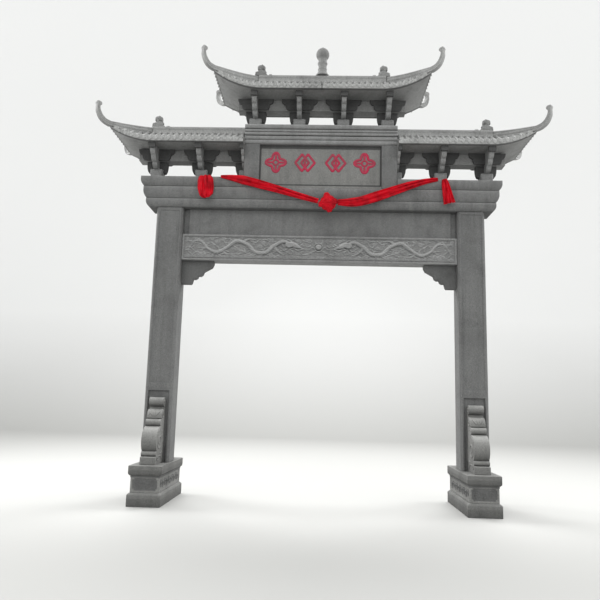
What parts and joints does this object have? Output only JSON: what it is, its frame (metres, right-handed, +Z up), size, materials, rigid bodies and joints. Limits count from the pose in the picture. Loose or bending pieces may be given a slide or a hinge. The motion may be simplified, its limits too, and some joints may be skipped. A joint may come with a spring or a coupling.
{
  "type": "stone paifang",
  "caption": "Free-standing carved granite gateway: two pillars on stepped bases, a carved lintel, a moulded beam, a name block and hip roofs on bracket sets.",
  "frame": {"origin": "on the ground, in the middle of the passage between the two pillars", "axes": "+Z up; +X to the right along the beam as seen from the front; the front faces -Y"},
  "size_m": [7.4874, 1.6504, 7.88],
  "materials": {
    "granite": "fine-grained grey granite, sawn and carved, matt",
    "roof_stone": "paler carved grey granite of the roofs, matt",
    "base_stone": "grey granite of the bases, rubbed edges, matt",
    "red_cloth": "bright red satin cloth, gathered and knotted"
  },
  "bodies": {
    "root": {"base_cap_left": "base_stone", "base_cap_right": "base_stone", "base_die_left": "base_stone", "base_die_right": "base_stone", "base_plinth_left": "base_stone", "base_plinth_right": "base_stone", "beam_lower_course": "granite", "beam_middle_course": "granite", "beam_upper_course_left": "granite", "beam_upper_course_right": "granite", "block_post_left": "granite", "block_post_right": "granite", "carved_lintel": "granite", "center_bracket_sets": "granite", "center_eave_beam": "granite", "center_hips_left": "roof_stone", "center_hips_right": "roof_stone", "center_ridge": "roof_stone", "center_ridge_beasts": "roof_stone", "center_roof": "roof_stone", "cloth_flower": "red_cloth", "cloth_left": "red_cloth", "cloth_right": "red_cloth", "corner_bracket_left": "granite", "corner_bracket_right": "granite", "cornice": "granite", "finial": "roof_stone", "left_bracket_sets": "granite", "left_eave_beam": "granite", "left_hips": "roof_stone", "left_ridge": "roof_stone", "left_ridge_beast": "roof_stone", "left_roof": "roof_stone", "lintel_panel": "granite", "name_panel": "granite", "pillar_left": "granite", "pillar_right": "granite", "right_bracket_sets": "granite", "right_eave_beam": "granite", "right_hips": "roof_stone", "right_ridge": "roof_stone", "right_ridge_beast": "roof_stone", "right_roof": "roof_stone", "scroll_stone_back_left": "base_stone", "scroll_stone_back_right": "base_stone", "scroll_stone_front_left": "base_stone", "scroll_stone_front_right": "base_stone"}
  },
  "joints": []
}
